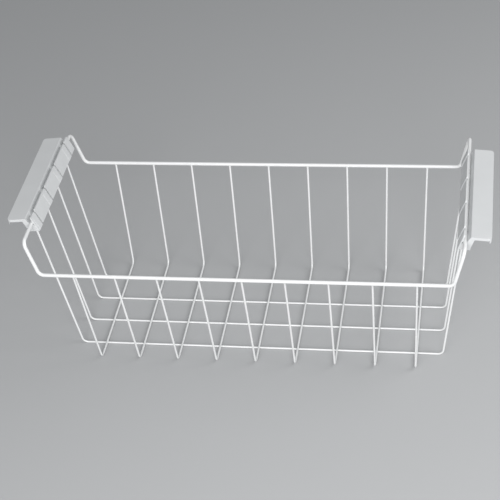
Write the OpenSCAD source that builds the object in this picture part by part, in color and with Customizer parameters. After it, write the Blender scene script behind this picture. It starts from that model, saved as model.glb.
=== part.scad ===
// Hanging wire storage basket for a chest freezer.
// A closed rim wire carries nine cross wires and four long wires, and a turning
// plastic hanger sits on each raised end of the rim and hooks over the cabinet's edge.
// +X is along the basket, +Z is up, and the origin is under its centre, on the
// surface that the long wires stand on.

/* [Rim] */
// Diameter of the coated rim wire
rim_d = 3.8; // [3:0.1:5]
// Half the distance between the two side rails, axis to origin
rail_y = 97.5; // [80:0.5:130]
// Half the length of a side rail, to the corner where the rim turns upwards
rail_x = 208; // [170:0.5:260]
// Height of the side rails above the ground, axis
rail_z = 132.5; // [100:0.5:180]
// How far the ends of the rim rise above the rails
end_rise = 40; // [30:1:50]
// How far each riser leans outwards over its height
riser_lean = 10; // [6:0.5:14]
// How far each riser leans in towards the middle of the end over its height
riser_tuck = 2; // [0:0.5:6]
// Bend radius of the rim wire, at its axis
rim_bend_r = 7; // [5:0.5:12]

/* [Wires] */
// Diameter of the coated cross wires and long wires
wire_d = 2.1; // [1.8:0.1:2.8]
// Number of cross wires
cross_count = 9; // [9]
// Distance between cross wires along the bottom
cross_pitch = 42; // [36:0.25:50]
// Distance between cross wires where they meet the rails
cross_top_pitch = 43.25; // [36:0.25:50]
// Half the width of the bottom, to the corner of a cross wire
bottom_y = 79.5; // [60:0.5:90]
// Half the length of the bottom, to the corner of a long wire
bottom_x = 195; // [176:0.5:205]
// Number of long wires
long_count = 4; // [4]
// Distance between long wires along the bottom
long_pitch = 36.5; // [32:0.5:42]
// Distance between long wires where they meet the end of the rim
long_top_pitch = 40; // [34:0.5:44]
// Bend radius of the thin wires, at their axis
wire_bend_r = 6; // [4:0.5:9]
// How deep a welded wire sinks into the wire it crosses or meets
weld_sink = 0.3; // [0.1:0.05:0.4]

/* [Hangers] */
// Length of a hanger along the end of the rim
hanger_len = 145; // [136:1:156]
// How far a hanger stands off centre, with its fingers over the wires
hanger_shift = 7.5; // [6:0.1:8]
// Reach of the flange from the rim wire's axis to its outer edge
flange_reach = 24.8; // [20:0.1:32]
// Height of the flange's top above the rim wire's axis
flange_top = 6.5; // [5.5:0.1:8]
// Thickness of the flange
flange_t = 3; // [2:0.1:4]
// Radius of the flange's outer corners
flange_corner_r = 4; // [2:0.5:6]
// Thickness of the lip along the flange's outer edge
lip_t = 2; // [1.5:0.1:3]
// How far the lip hangs below the flange
lip_drop = 3; // [2:0.1:5]
// Lean of the hanger's web and fingers from upright
channel_lean = 16; // [10:0.5:20]
// How far the hangers have turned by their own weight: their flanges droop outwards
rest_droop = 5; // [0:0.5:8]
// Thickness of the web on the outer side of the rim wire
web_t = 3.5; // [3:0.1:5]
// Thickness of the fingers
finger_t = 1.5; // [1.2:0.1:2]
// Height of the fingers above the rim wire's axis, along their lean
finger_rise = 7; // [6:0.1:9]
// Radius of the fingers' upper corners
finger_corner_r = 2; // [1:0.1:3]
// Depth of the channel's foot and of the fingers below the rim wire's axis
foot_drop = 9.3; // [8:0.1:12]
// How much wider than a wire the slits between the fingers are
slit_play = 0.6; // [0.4:0.1:1]
// Free width past a wire at the closed end of the relief in which it slides
slide_play = 1.45; // [1:0.05:2.5]
// How far the relief strip stands proud of its finger
relief_raise = 0.35; // [0.2:0.05:0.5]

/* [Fits] */
// Running clearance, radial, between the rim wire and the hanger's seat
seat_gap = 0.08; // [0.02:0.01:0.1]
// Free space kept between a wire and the plastic that turns past it
turn_gap = 0.8; // [0.5:0.1:1.2]

/* [Hidden] */
$fn = 48;

rim_r = rim_d / 2;
wire_r = wire_d / 2;
// A bend thins the wire's diameter this much, and its ends reach this far into the straights
bend_thinning = 0.04;
bend_overrun = 0.3;
// The long wires stand on the ground and the cross wires lie on them
long_z = wire_r;
cross_z = long_z + wire_d - weld_sink;
// The raised ends of the rim
bar_x = rail_x + riser_lean;
bar_y = rail_y - riser_tuck;
bar_z = rail_z + end_rise;
// A long wire's end meets the inner lower side of the rim, this far from its axis
long_end_in = 0.45 * rim_r;
long_end_down = 0.7 * rim_r;
// A cross wire's end meets the rail from below, this far from its axis
cross_end_gap = rim_r - 2 * weld_sink;

// Hanger section: u points into the basket and v points up, from the rim wire's axis
seat_r = rim_r + seat_gap;
flange_under = flange_top - flange_t;
lean_tan = tan(channel_lean);
// The fingers' backs clear the rim wire by this much, apart from the snap ridge
finger_free = 0.4;
finger_back = seat_r + finger_free;
finger_face = finger_back + finger_t;
finger_mid = finger_back + finger_t / 2;
slit_w = wire_d + slit_play;
relief_w = hanger_shift + wire_r + slide_play;
// Step between two faces that would otherwise share a plane
cut_step = 0.05;
window_p = finger_back + cut_step;
// Web: its inner face leads down to the seat's outer side
web_mouth_u = -seat_r - 3.2;
seat_lip_v = 1;
web_foot_v = -0.65 * foot_drop;
foot_corner_u = -0.6 * foot_drop;
foot_crown_v = -0.6 * rim_r;
// Snap ridge on the fingers' back, which narrows the channel's mouth
ridge_reach = 0.9;
// Highest point that a window for a wire reaches, and the free circle about the seat
window_v = 0.5;
window_r = norm([long_end_in + wire_r, long_end_down]) + turn_gap / 2;

function unit(v) = v / norm(v);

// u at height v on a face that leans with the channel, offset p from the axis
function lean_u(p, v) = p / cos(channel_lean) - v * lean_tan;

// The (u, v) point at offset p from the axis and q up along the channel's lean
function lean_point(p, q) = [
    p * cos(channel_lean) - q * sin(channel_lean),
    p * sin(channel_lean) + q * cos(channel_lean)];

// Distance from a path's corner b to where its bend starts
function bend_start(a, b, c, r) =
    r * tan(acos(unit(b - a) * unit(c - b)) / 2);

// A straight round wire from a to b
module rod(a, b, d) {
    run = b - a;
    translate(a)
        rotate([0, acos(run.z / norm(run)), atan2(run.y, run.x)])
            cylinder(d = d, h = norm(run));
}

// The bend of a round wire about the corner b of the path a, b, c. Its ends run on
// into the straight wires, which are a hair thicker.
module elbow(a, b, c, d, r) {
    into = unit(b - a);
    out = unit(c - b);
    turn = acos(into * out);
    start = b - into * bend_start(a, b, c, r);
    to_centre = unit(out - into * (into * out));
    centre = start + to_centre * r;
    side = cross(-to_centre, into);
    overrun = asin(bend_overrun / r);
    multmatrix([
        [-to_centre.x, into.x, side.x, centre.x],
        [-to_centre.y, into.y, side.y, centre.y],
        [-to_centre.z, into.z, side.z, centre.z],
        [0, 0, 0, 1]])
        rotate([0, 0, -overrun])
            rotate_extrude(angle = turn + 2 * overrun)
                translate([r, 0]) circle(d = d - bend_thinning);
}

// A bent wire through the corners of an open path
module bent_wire(path, d, r) {
    last = len(path) - 1;
    trim = [for (i = [0:last]) i == 0 || i == last ? 0
        : bend_start(path[i - 1], path[i], path[i + 1], r)];
    for (i = [0:last - 1]) {
        along = unit(path[i + 1] - path[i]);
        rod(path[i] + along * trim[i], path[i + 1] - along * trim[i + 1], d);
    }
    for (i = [1:last - 1])
        elbow(path[i - 1], path[i], path[i + 1], d, r);
}

// A bent wire that closes on itself
module closed_wire(path, d, r) {
    n = len(path);
    trim = [for (i = [0:n - 1])
        bend_start(path[(i + n - 1) % n], path[i], path[(i + 1) % n], r)];
    for (i = [0:n - 1]) {
        j = (i + 1) % n;
        along = unit(path[j] - path[i]);
        rod(path[i] + along * trim[i], path[j] - along * trim[j], d);
        elbow(path[(i + n - 1) % n], path[i], path[j], d, r);
    }
}

// One side rail, up over the right end, back along the other rail, up over the left end
module rim_wire() {
    color("white")
        closed_wire([
            [-rail_x, -rail_y, rail_z], [rail_x, -rail_y, rail_z],
            [bar_x, -bar_y, bar_z], [bar_x, bar_y, bar_z],
            [rail_x, rail_y, rail_z], [-rail_x, rail_y, rail_z],
            [-bar_x, bar_y, bar_z], [-bar_x, -bar_y, bar_z]], rim_d, rim_bend_r);
}

// A cross wire runs across the bottom and up to both rails, where the wires fan out
module cross_wire(i) {
    place = i - (cross_count + 1) / 2;
    corner = [place * cross_pitch, bottom_y, cross_z];
    rail = [place * cross_top_pitch, rail_y, rail_z];
    end = rail - unit(rail - corner) * cross_end_gap;
    color("white")
        bent_wire([
            [end.x, -end.y, end.z], [corner.x, -corner.y, corner.z], corner, end],
            wire_d, wire_bend_r);
}

// A long wire runs along the bottom and up to both raised ends of the rim
module long_wire(i) {
    place = i - (long_count + 1) / 2;
    corner = [bottom_x, place * long_pitch, long_z];
    end = [bar_x - long_end_in, place * long_top_pitch, bar_z - long_end_down];
    color("white")
        bent_wire([
            [-end.x, end.y, end.z], [-corner.x, corner.y, corner.z], corner, end],
            wire_d, wire_bend_r);
}

// Stands a (u, v) section upright and runs it along Y from y0 to y1
module along_y(y0, y1) {
    translate([0, y1, 0])
        rotate([90, 0, 0])
            linear_extrude(height = y1 - y0) children();
}

// Flange with rounded outer corners, and the lip below its outer edge
module flange() {
    inner_u = web_mouth_u;
    mid_u = flange_corner_r - flange_reach;
    half = hanger_len / 2;
    module plan() {
        translate([mid_u, -half]) square([inner_u - mid_u, hanger_len]);
        translate([-flange_reach, flange_corner_r - half])
            square([inner_u + flange_reach, hanger_len - 2 * flange_corner_r]);
        for (s = [-1, 1])
            translate([mid_u, s * (half - flange_corner_r)]) circle(r = flange_corner_r);
    }
    translate([0, 0, flange_under])
        linear_extrude(height = flange_t) plan();
    translate([0, 0, flange_under - lip_drop])
        linear_extrude(height = lip_drop + flange_t / 2)
            intersection() {
                plan();
                translate([-flange_reach, -half]) square([lip_t, hanger_len]);
            }
}

// Section of the web and the foot that the rim wire sits in
module web_section() {
    difference() {
        polygon([
            [web_mouth_u, flange_top],
            [web_mouth_u - web_t, flange_top],
            [web_mouth_u - web_t, flange_under],
            [web_mouth_u - web_t + (flange_under - web_foot_v) * lean_tan, web_foot_v],
            [foot_corner_u, -foot_drop],
            [lean_u(finger_mid, -foot_drop), -foot_drop],
            [lean_u(finger_mid, foot_crown_v - finger_mid), foot_crown_v - finger_mid],
            [seat_r, foot_crown_v],
            [-seat_r, foot_crown_v],
            [-seat_r, seat_lip_v]]);
        circle(r = seat_r);
    }
}

// Section of a finger, with the snap ridge that holds the rim wire down. It stands
// 1 mm too tall, and the fingers' outline trims it
module finger_section() {
    difference() {
        polygon([
            [lean_u(finger_back, -foot_drop), -foot_drop],
            [lean_u(finger_face, -foot_drop), -foot_drop],
            lean_point(finger_face, finger_rise + 1),
            lean_point(finger_back, finger_rise + 1),
            [lean_u(finger_back, rim_d), rim_d],
            [ridge_reach, rim_r],
            [lean_u(finger_back, 0), 0]]);
        circle(r = seat_r);
    }
}

// Section of the raised strip, which fades into the finger near its top
module strip_section() {
    polygon([
        [lean_u(finger_mid, -foot_drop), -foot_drop],
        [lean_u(finger_face + relief_raise, -foot_drop), -foot_drop],
        lean_point(finger_face + relief_raise, finger_rise - 2.6),
        lean_point(finger_mid, finger_rise - 0.8)]);
}

// Outline of the row of fingers, seen square on, from along its lean; the slits are
// centred on slit_ys, and each finger's upper corners are rounded
module finger_outline(slit_ys) {
    r = finger_corner_r;
    edges = concat(
        [-hanger_len / 2],
        [for (y = slit_ys) each [y - slit_w / 2, y + slit_w / 2]],
        [hanger_len / 2]);
    for (k = [0:len(slit_ys)]) {
        y0 = edges[2 * k];
        y1 = edges[2 * k + 1];
        translate([y0, -2 * foot_drop])
            square([y1 - y0, 2 * foot_drop + finger_rise - r]);
        translate([y0 + r, 0])
            square([y1 - y0 - 2 * r, finger_rise]);
        for (y = [y0 + r, y1 - r])
            translate([y, finger_rise - r]) circle(r = r);
    }
}

// A moulded hanger about the rim wire's axis, flange towards -X
module hanger() {
    half = hanger_len / 2;
    slits = [for (i = [1:long_count]) (i - (long_count + 1) / 2) * long_top_pitch];
    color("gainsboro")
        difference() {
            union() {
                flange();
                along_y(-half, half) web_section();
                intersection() {
                    union() {
                        along_y(-half, half) finger_section();
                        // Raised strip over each wire's relief, up to the edge of its slit
                        for (y = slits)
                            along_y(y - relief_w, y) strip_section();
                    }
                    rotate([0, -channel_lean, 0])
                        rotate([90, 0, 90])
                            linear_extrude(height = finger_face + 2 * finger_t)
                                finger_outline(slits);
                }
            }
            for (y = slits) {
                // Slot in the foot, a little narrower than the gap between the fingers
                translate([-rim_r, y - slit_w / 2 + cut_step, -foot_drop - 1])
                    cube([flange_reach, slit_w - 2 * cut_step, foot_drop + 1 + window_v]);
                // Window through the foot and the lower web for the wire
                along_y(y - relief_w, y + slit_w / 2 - 2 * cut_step) {
                    polygon([
                        [-flange_reach, window_v],
                        [-flange_reach, -foot_drop - 1],
                        [lean_u(window_p, -foot_drop - 1), -foot_drop - 1],
                        [lean_u(window_p, window_v), window_v]]);
                    circle(r = window_r);
                }
            }
        }
}

module hanger_left() {
    translate([-bar_x, hanger_shift, bar_z])
        rotate([0, -rest_droop, 0]) hanger();
}

// The same moulding, turned end for end
module hanger_right() {
    translate([bar_x, -hanger_shift, bar_z])
        rotate([0, -rest_droop, 180]) hanger();
}

rim_wire();
cross_wire(1);  // cross_wire_1
cross_wire(2);  // cross_wire_2
cross_wire(3);  // cross_wire_3
cross_wire(4);  // cross_wire_4
cross_wire(5);  // cross_wire_5
cross_wire(6);  // cross_wire_6
cross_wire(7);  // cross_wire_7
cross_wire(8);  // cross_wire_8
cross_wire(9);  // cross_wire_9
long_wire(1);  // long_wire_1
long_wire(2);  // long_wire_2
long_wire(3);  // long_wire_3
long_wire(4);  // long_wire_4
hanger_left();
hanger_right();
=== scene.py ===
# The looks of a chest freezer's hanging storage basket: a white coated wire basket and
# the two moulded plastic hangers that turn on its raised ends. Lengths are in metres.
import math

import bmesh
import bpy
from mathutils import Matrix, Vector


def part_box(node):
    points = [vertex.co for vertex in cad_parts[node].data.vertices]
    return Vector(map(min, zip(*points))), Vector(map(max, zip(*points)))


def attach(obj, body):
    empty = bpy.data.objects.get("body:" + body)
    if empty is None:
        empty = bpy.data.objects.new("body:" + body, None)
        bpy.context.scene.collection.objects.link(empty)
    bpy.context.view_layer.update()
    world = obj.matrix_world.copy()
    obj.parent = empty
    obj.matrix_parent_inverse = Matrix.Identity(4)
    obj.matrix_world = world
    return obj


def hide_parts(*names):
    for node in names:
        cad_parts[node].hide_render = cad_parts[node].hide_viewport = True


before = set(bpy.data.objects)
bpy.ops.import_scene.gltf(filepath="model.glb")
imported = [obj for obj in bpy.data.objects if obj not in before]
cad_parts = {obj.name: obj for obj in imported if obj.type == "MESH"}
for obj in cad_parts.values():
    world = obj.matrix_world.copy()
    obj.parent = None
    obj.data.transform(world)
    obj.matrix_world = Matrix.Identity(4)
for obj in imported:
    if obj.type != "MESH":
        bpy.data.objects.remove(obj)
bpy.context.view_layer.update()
MM = 0.001


# Camera: it looks down on the basket from in front and a little to the right.
lens = bpy.data.cameras.new("viewpoint")
lens.lens = 98.54
lens.sensor_width = 36
viewpoint = bpy.data.objects.new("viewpoint", lens)
viewpoint.location = (0.24306, -1.10362, 1.00343)
viewpoint.rotation_euler = [math.radians(a) for a in (50.935, 5.365, 8.562)]
bpy.context.scene.collection.objects.link(viewpoint)
bpy.context.scene.camera = viewpoint


# Rim wire: one closed loop of thick steel wire, bent at eight corners and butt welded.
# Like every wire it is dipped in white plastic powder, which melts to a smooth skin, a
# little thicker in some places than in others.
class Signal:
    """A value on its way through the nodes of a tree, for use in an expression."""

    def __init__(self, tree, socket=None):
        self.tree, self.socket = tree, socket

    def node(self, kind, settings=None, sockets=None, out=0):
        """Adds a node: its settings first, then the values or links of its sockets."""
        made = self.tree.nodes.new(kind)
        for key, value in (settings or {}).items():
            setattr(made, key, value)
        for key, value in (sockets or {}).items():
            if isinstance(value, Signal):
                self.tree.links.new(value.socket, made.inputs[key])
            else:
                made.inputs[key].default_value = value
        return Signal(self.tree, made.outputs[out] if len(made.outputs) else None)

    def maths(self, operation, first, second=0.0):
        return self.node("ShaderNodeMath", {"operation": operation}, {0: first, 1: second})

    def __add__(self, other): return self.maths("ADD", self, other)
    def __radd__(self, other): return self.maths("ADD", other, self)
    def __sub__(self, other): return self.maths("SUBTRACT", self, other)
    def __rsub__(self, other): return self.maths("SUBTRACT", other, self)
    def __mul__(self, other): return self.maths("MULTIPLY", self, other)
    def __rmul__(self, other): return self.maths("MULTIPLY", other, self)
    def __truediv__(self, other): return self.maths("DIVIDE", self, other)
    def at_least(self, floor): return self.maths("MAXIMUM", self, floor)
    def at_most(self, ceiling): return self.maths("MINIMUM", self, ceiling)


def finish_of(name):
    """A new material's nodes to add to, and a way to fill its shader's sockets."""
    made = bpy.data.materials.new(name)
    made.use_nodes = True
    shader = made.node_tree.nodes["Principled BSDF"]
    start = Signal(made.node_tree)

    def fill(**sockets):
        for key, value in sockets.items():
            socket = shader.inputs[key.replace("_", " ")]
            if isinstance(value, Signal):
                made.node_tree.links.new(value.socket, socket)
            else:
                socket.default_value = value
    return made, start, fill


def noise(start, place, scale, detail=2.0):
    return start.node("ShaderNodeTexNoise", {"normalize": True},
                      {"Vector": place, "Scale": scale, "Detail": detail})


def tone_between(start, factor, dark, light):
    return start.node("ShaderNodeMix", {"data_type": "RGBA"},
                      {0: factor, 6: dark, 7: light}, out=2)


coating, start, fill = finish_of("white_wire_coating")
place = start.node("ShaderNodeTexCoord", out="Object")
flow = noise(start, place, 55.0)              # slow swell in the coating's thickness
orange_peel = noise(start, place, 900.0)      # fine orange peel of the melted powder
handling = noise(start, place, 14.0, 4.0)     # where hands and frozen packs have rubbed
fill(
    Base_Color=tone_between(start, handling, (0.72, 0.73, 0.735, 1), (0.79, 0.79, 0.785, 1)),
    Roughness=0.2 + 0.16 * handling,
    IOR=1.5,
    Coat_Weight=0.35,
    Coat_Roughness=0.12,
    Normal=start.node("ShaderNodeBump", None, {
        "Strength": 0.35, "Distance": 0.06 * MM,
        "Height": orange_peel + 3.0 * flow}))


def new_piece(name, verts, edges=(), faces=()):
    """A mesh object of that name, its place in its mesh."""
    mesh = bpy.data.meshes.new(name)
    mesh.from_pydata([tuple(v) for v in verts], edges, faces)
    piece = bpy.data.objects.new(name, mesh)
    bpy.context.scene.collection.objects.link(piece)
    return piece


def settled(piece):
    """Runs the modifiers of a piece and keeps the plain mesh that they make."""
    view = bpy.context.evaluated_depsgraph_get()
    made = bpy.data.meshes.new_from_object(piece.evaluated_get(view))
    piece.modifiers.clear()
    piece.data = made


def grown(piece, tree, **inputs):
    """Runs a tree of geometry nodes on a piece and keeps the plain mesh that it makes."""
    run = piece.modifiers.new("grow", "NODES")
    run.node_group = tree
    for item in tree.interface.items_tree:
        if item.in_out == "INPUT" and item.name in inputs:
            run[item.identifier] = inputs[item.name]
    settled(piece)
    return piece


def new_tree(name, **sockets):
    """A tree of geometry nodes with named inputs, and where to start adding nodes."""
    tree = bpy.data.node_groups.new(name, "GeometryNodeTree")
    tree.interface.new_socket("Shape", in_out="INPUT", socket_type="NodeSocketGeometry")
    for key, kind in sockets.items():
        tree.interface.new_socket(key, in_out="INPUT", socket_type="NodeSocket" + kind)
    tree.interface.new_socket("Shape", in_out="OUTPUT", socket_type="NodeSocketGeometry")
    given = tree.nodes.new("NodeGroupInput")
    made = {key: Signal(tree, given.outputs[key]) for key in ("Shape", *sockets)}
    return tree, Signal(tree), made


def close_tree(start, shape, material):
    """Ends a tree: its instances made real, and its material set."""
    real = start.node("GeometryNodeRealizeInstances", None, {"Geometry": shape})
    named = start.node("GeometryNodeSetMaterial", None, {"Geometry": real, "Material": material})
    start.node("NodeGroupOutput", None, {0: named})


# A wire is swept along its line, and swells at a welded end, where the coating draws up
# round the joint: Swell is how much thicker it gets there, over the length Reach.
sweep, start, given = new_tree("swept_wire", Radius="Float", Sides="Int", Swell="Float",
                               Reach="Float", Coating="Material")
line = start.node("GeometryNodeMeshToCurve", None, {0: given["Shape"]})
along = start.node("GeometryNodeSplineParameter", out="Length")
whole = start.node("GeometryNodeSplineLength", out="Length")
near_end = (1.0 - along.maths("MINIMUM", along, whole - along) / given["Reach"]).at_least(0.0)
ring = start.node("GeometryNodeCurvePrimitiveCircle", None,
                  {"Resolution": given["Sides"], "Radius": 1.0})
swept = start.node("GeometryNodeCurveToMesh", None, {
    "Curve": line, "Profile Curve": ring, "Fill Caps": True,
    "Scale": given["Radius"] * (1.0 + given["Swell"] * near_end * near_end)})
smooth = start.node("GeometryNodeSetShadeSmooth", None, {0: swept})
close_tree(start, smooth, given["Coating"])


def bent(corners, radius, steps, closed=False, ends=()):
    """Points along a wire bent at its corners, with extra points near its ends."""
    last = len(corners) - 1
    points = []
    for i, corner in enumerate(corners):
        corner = Vector(corner)
        if not closed and i in (0, last):
            other = Vector(corners[1 if i == 0 else last - 1])
            way = (other - corner).normalized()
            near = [corner + way * d for d in (0.0, *ends)]
            points += near if i == 0 else near[::-1]
            continue
        before = (Vector(corners[i - 1]) - corner).normalized()
        after = (Vector(corners[(i + 1) % len(corners)]) - corner).normalized()
        half = before.angle(after) / 2
        centre = corner + (before + after).normalized() * (radius / math.sin(half))
        first_arm = (corner + before * (radius / math.tan(half)) - centre).normalized()
        last_arm = (corner + after * (radius / math.tan(half)) - centre).normalized()
        points += [centre + radius * first_arm.slerp(last_arm, k / steps)
                   for k in range(steps + 1)]
    return points


def wire(name, corners, thickness, bend, sides, steps, closed=False, swell=0.0):
    """A coated wire through those corners, each rounded by the bend."""
    reach = 3.2 * MM                              # length of the swelling at a welded end
    ends = () if closed else [k / 5 * reach for k in range(2, 6)]
    points = bent(corners, bend, steps, closed, ends)
    count = len(points)
    edges = [(i, (i + 1) % count) for i in range(count if closed else count - 1)]
    piece = new_piece(name, points, edges)
    return grown(piece, sweep, Radius=thickness / 2, Sides=sides, Swell=swell,
                 Reach=reach, Coating=coating)


rim_thickness = 3.8 * MM
rim_radius = rim_thickness / 2
rim_bend = 7 * MM
riser_lean = 10 * MM                          # how far a riser leans out to its end bar
riser_tuck = 2 * MM                           # how far it leans in across the basket
rim_low, rim_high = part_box("rim_wire")
bar_x = rim_high.x - rim_radius               # the end bars, which the hangers turn on
bar_z = rim_high.z - rim_radius
rail_y = rim_high.y - rim_radius              # the long rails of the basket's mouth
rail_z = rim_low.z + rim_radius
rail_x = bar_x - riser_lean
bar_y = rail_y - riser_tuck
rim = wire("rim", [
    (-rail_x, -rail_y, rail_z), (rail_x, -rail_y, rail_z),
    (bar_x, -bar_y, bar_z), (bar_x, bar_y, bar_z),
    (rail_x, rail_y, rail_z), (-rail_x, rail_y, rail_z),
    (-bar_x, bar_y, bar_z), (-bar_x, -bar_y, bar_z)],
    rim_thickness, rim_bend, sides=24, steps=10, closed=True)
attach(rim, "basket")
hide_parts("rim_wire")


# Cross wires: nine thin wires, each bent to a U and welded by its ends under the two
# rails. They fan out a little towards the top.
thin = 2.1 * MM
thin_radius = thin / 2
thin_bend = 6 * MM
weld_sink = 0.3 * MM
long_z = thin_radius
cross_z = long_z + thin - weld_sink
cross_count = 9
cross_pitch = 42 * MM                         # along the bottom
cross_top_pitch = 43.25 * MM                  # along the rails
foot_y = 79.5 * MM                            # where a cross wire turns up from the bottom
feet_x = [(i - (cross_count - 1) / 2) * cross_pitch for i in range(cross_count)]
tops_x = [(i - (cross_count - 1) / 2) * cross_top_pitch for i in range(cross_count)]
for i, (foot_x, top_x) in enumerate(zip(feet_x, tops_x)):
    foot = Vector((foot_x, foot_y, cross_z))
    rail = Vector((top_x, rail_y, rail_z))
    top = rail - (rail - foot).normalized() * (rim_radius - 2 * weld_sink)
    front = Vector((1, -1, 1))
    cross = wire(f"cross_{i + 1}", [top * front, foot * front, foot, top],
                 thin, thin_bend, sides=14, steps=7, swell=0.45)
    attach(cross, "basket")
    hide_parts(f"cross_wire_{i + 1}")


# Long wires: four thin wires under the cross wires, from end bar to end bar. They are
# what the basket stands on, and their ends are welded inside the end bars' undersides.
long_count = 4
long_pitch = 36.5 * MM                        # along the bottom
long_top_pitch = 40 * MM                      # along the end bars
foot_x = 195 * MM
feet_y = [(i - (long_count - 1) / 2) * long_pitch for i in range(long_count)]
tops_y = [(i - (long_count - 1) / 2) * long_top_pitch for i in range(long_count)]
for i, (low_y, high_y) in enumerate(zip(feet_y, tops_y)):
    foot = Vector((foot_x, low_y, long_z))
    top = Vector((bar_x - 0.45 * rim_radius, high_y, bar_z - 0.7 * rim_radius))
    left = Vector((-1, 1, 1))
    long_one = wire(f"long_{i + 1}", [top * left, foot * left, foot, top],
                    thin, thin_bend, sides=14, steps=7, swell=0.3)
    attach(long_one, "basket")
    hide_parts(f"long_wire_{i + 1}")


# Spot welds: where a cross wire is pressed into a long wire, the coating fills the four
# corners of the crossing with a small fillet.
fillets, start, given = new_tree("weld_fillets", Size="Float", Flatness="Float",
                                 Coating="Material")
bead = start.node("GeometryNodeMeshIcoSphere", None, {"Radius": given["Size"], "Subdivisions": 3})
squat = start.node("ShaderNodeCombineXYZ", None, {0: 1.0, 1: 1.0, 2: given["Flatness"]})
spots = start.node("GeometryNodeInstanceOnPoints", None, {
    "Points": given["Shape"], "Instance": bead, "Scale": squat})
smooth = start.node("GeometryNodeSetShadeSmooth", None, {0: spots})
close_tree(start, smooth, given["Coating"])
touch_z = long_z + thin_radius - weld_sink / 2
welds = grown(new_piece("weld_fillets", [(x, y, touch_z) for x in feet_x for y in feet_y]),
              fillets, Size=1.15 * MM, Flatness=0.62, Coating=coating)
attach(welds, "basket")


# Hangers: one moulding of white plastic at each end. Its channel snaps over the end bar,
# with fingers between the wires, and its flange hooks over the cabinet's edge.
plastic, start, fill = finish_of("moulded_white_plastic")
place = start.node("ShaderNodeTexCoord", out="Object")
spark = noise(start, place, 2600.0, 3.0)      # fine texture of the mould
melt = noise(start, place, 38.0)              # faint marks where the melt ran and shrank
scuffs = noise(start, place, 120.0, 5.0)
rubbed = ((scuffs - 0.52) * 6.0).at_least(0.0).at_most(1.0)
fill(
    Base_Color=tone_between(start, melt, (0.58, 0.59, 0.595, 1), (0.64, 0.65, 0.655, 1)),
    Roughness=0.36 + 0.1 * melt + 0.12 * rubbed,
    IOR=1.49,
    Normal=start.node("ShaderNodeBump", None, {
        "Strength": 0.15, "Distance": 0.03 * MM, "Height": spark + 1.5 * melt}))


def moulded(name, node):
    """The hanger of that CAD node, its flats made whole and its edges rounded."""
    merge = 0.002 * MM
    slimmest = 0.4 * MM                       # faces narrower than this keep crisp edges
    fold = math.radians(35)
    shape = bmesh.new()
    shape.from_mesh(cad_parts[node].data)
    bmesh.ops.remove_doubles(shape, verts=shape.verts, dist=merge)
    bmesh.ops.dissolve_degenerate(shape, edges=shape.edges, dist=merge)
    bmesh.ops.dissolve_limit(shape, verts=shape.verts, edges=shape.edges,
                             angle_limit=math.radians(1))
    rounded = shape.edges.layers.float.new("bevel_weight_edge")
    for face in shape.faces:
        face.smooth = True
    for edge in shape.edges:
        broad = all(face.calc_area() > slimmest * max(e.calc_length() for e in face.edges)
                    for face in edge.link_faces)
        edge[rounded] = float(broad and edge.calc_face_angle(0.0) > fold
                              and edge.calc_length() > slimmest)
    piece = new_piece(name, [])
    shape.to_mesh(piece.data)
    shape.free()
    piece.data.materials.append(plastic)
    soften = piece.modifiers.new("soften", "BEVEL")
    soften.width = 0.25 * MM
    soften.segments = 3
    soften.limit_method = "WEIGHT"
    soften.use_clamp_overlap = False
    settled(piece)
    piece.data.set_sharp_from_angle(angle=fold)
    flats = piece.modifiers.new("flats", "WEIGHTED_NORMAL")
    flats.keep_sharp = True
    settled(piece)
    return piece


for side in ("left", "right"):
    hanger = moulded(f"{side}_end_hanger", f"hanger_{side}")
    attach(hanger, f"{side}_hanger")
    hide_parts(f"hanger_{side}")


# Floor: a plain pale surface with a satin finish, level with the basket's underside.
floor = new_piece("floor", [(-6, -4, 0), (6, -4, 0), (6, 8, 0), (-6, 8, 0)], (), [(0, 1, 2, 3)])
paint, start, fill = finish_of("pale_floor")
place = start.node("ShaderNodeTexCoord", out="Object")
fill(
    Base_Color=(0.43, 0.435, 0.44, 1),
    Roughness=0.6 + 0.06 * noise(start, place, 9.0),
    IOR=1.45)
floor.data.materials.append(paint)


# Light: a broad soft lamp low in front, a weaker one to the right, and a pale room.
def soft_lamp(name, place, target, power, size):
    lamp = bpy.data.lights.new(name, "AREA")
    lamp.energy = power
    lamp.size = size
    made = bpy.data.objects.new(name, lamp)
    made.location = place
    made.rotation_euler = (Vector(target) - Vector(place)).to_track_quat("-Z", "Y").to_euler()
    bpy.context.scene.collection.objects.link(made)


soft_lamp("front_lamp", (0.1, -1.45, 0.75), (0.05, -0.1, 0.05), 23, 1.1)
soft_lamp("side_lamp", (1.1, -0.1, 0.9), (0.3, -0.1, 0.05), 9, 0.9)
room = bpy.data.worlds.new("pale_room")
room.use_nodes = True
room.node_tree.nodes["Background"].inputs["Color"].default_value = (0.9, 0.92, 0.94, 1)
room.node_tree.nodes["Background"].inputs["Strength"].default_value = 0.42
bpy.context.scene.world = room
bpy.context.scene.view_settings.view_transform = "Standard"
